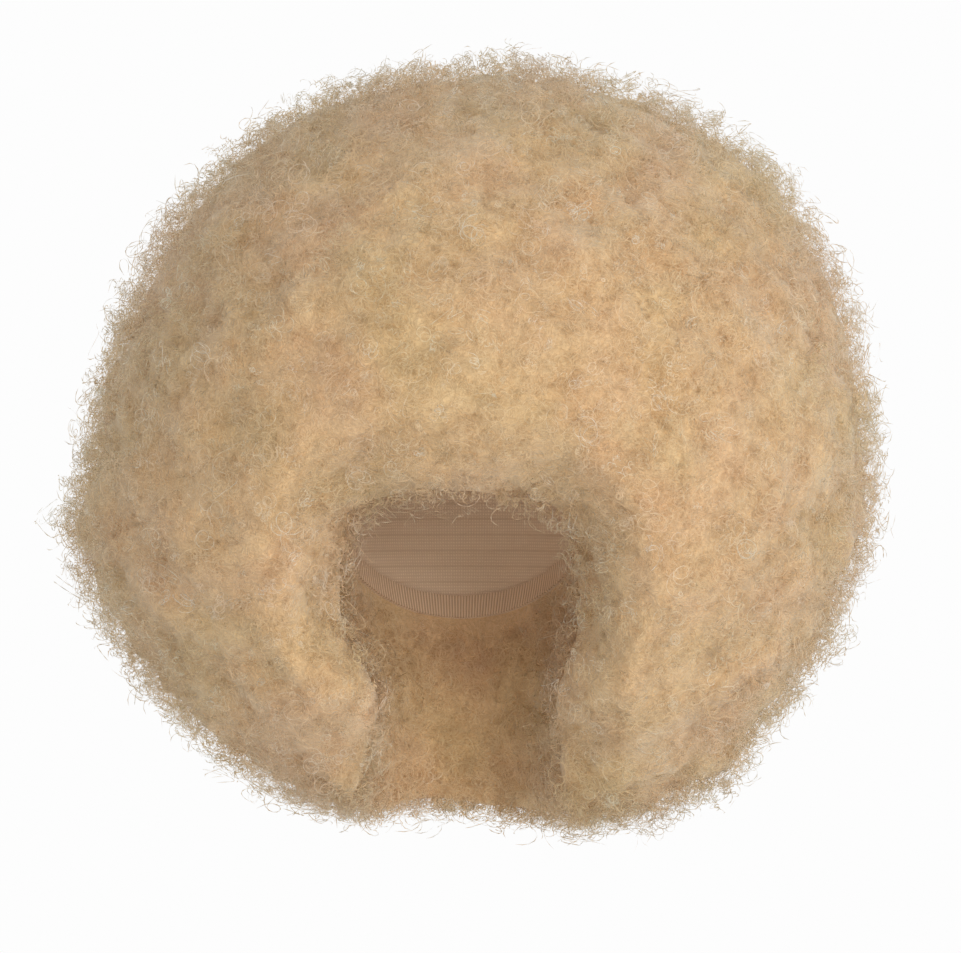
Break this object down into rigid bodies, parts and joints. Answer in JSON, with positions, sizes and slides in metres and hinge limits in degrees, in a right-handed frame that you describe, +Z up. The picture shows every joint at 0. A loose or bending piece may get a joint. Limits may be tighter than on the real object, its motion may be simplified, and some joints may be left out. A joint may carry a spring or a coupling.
{
  "type": "afro wig",
  "caption": "Large round afro wig of frizzy curls on a knitted cap, hollow for the head and neck and open for the face.",
  "frame": {"origin": "inside of the cap at the crown of the head, where the wig sits on its wearer", "axes": "-Y the way the wearer looks, +X to the right as seen from the front, +Z up"},
  "size_m": [0.4522, 0.3885, 0.4263],
  "materials": {
    "hair": "frizzy pale blonde synthetic hair",
    "cap": "fine beige knit",
    "rim_band": "ribbed elastic"
  },
  "bodies": {
    "root": {"cap": "cap", "rim_band": "rim_band", "hair_crown": "hair", "hair_fringe": "hair", "hair_left": "hair", "hair_right": "hair", "hair_back": "hair"}
  },
  "joints": []
}
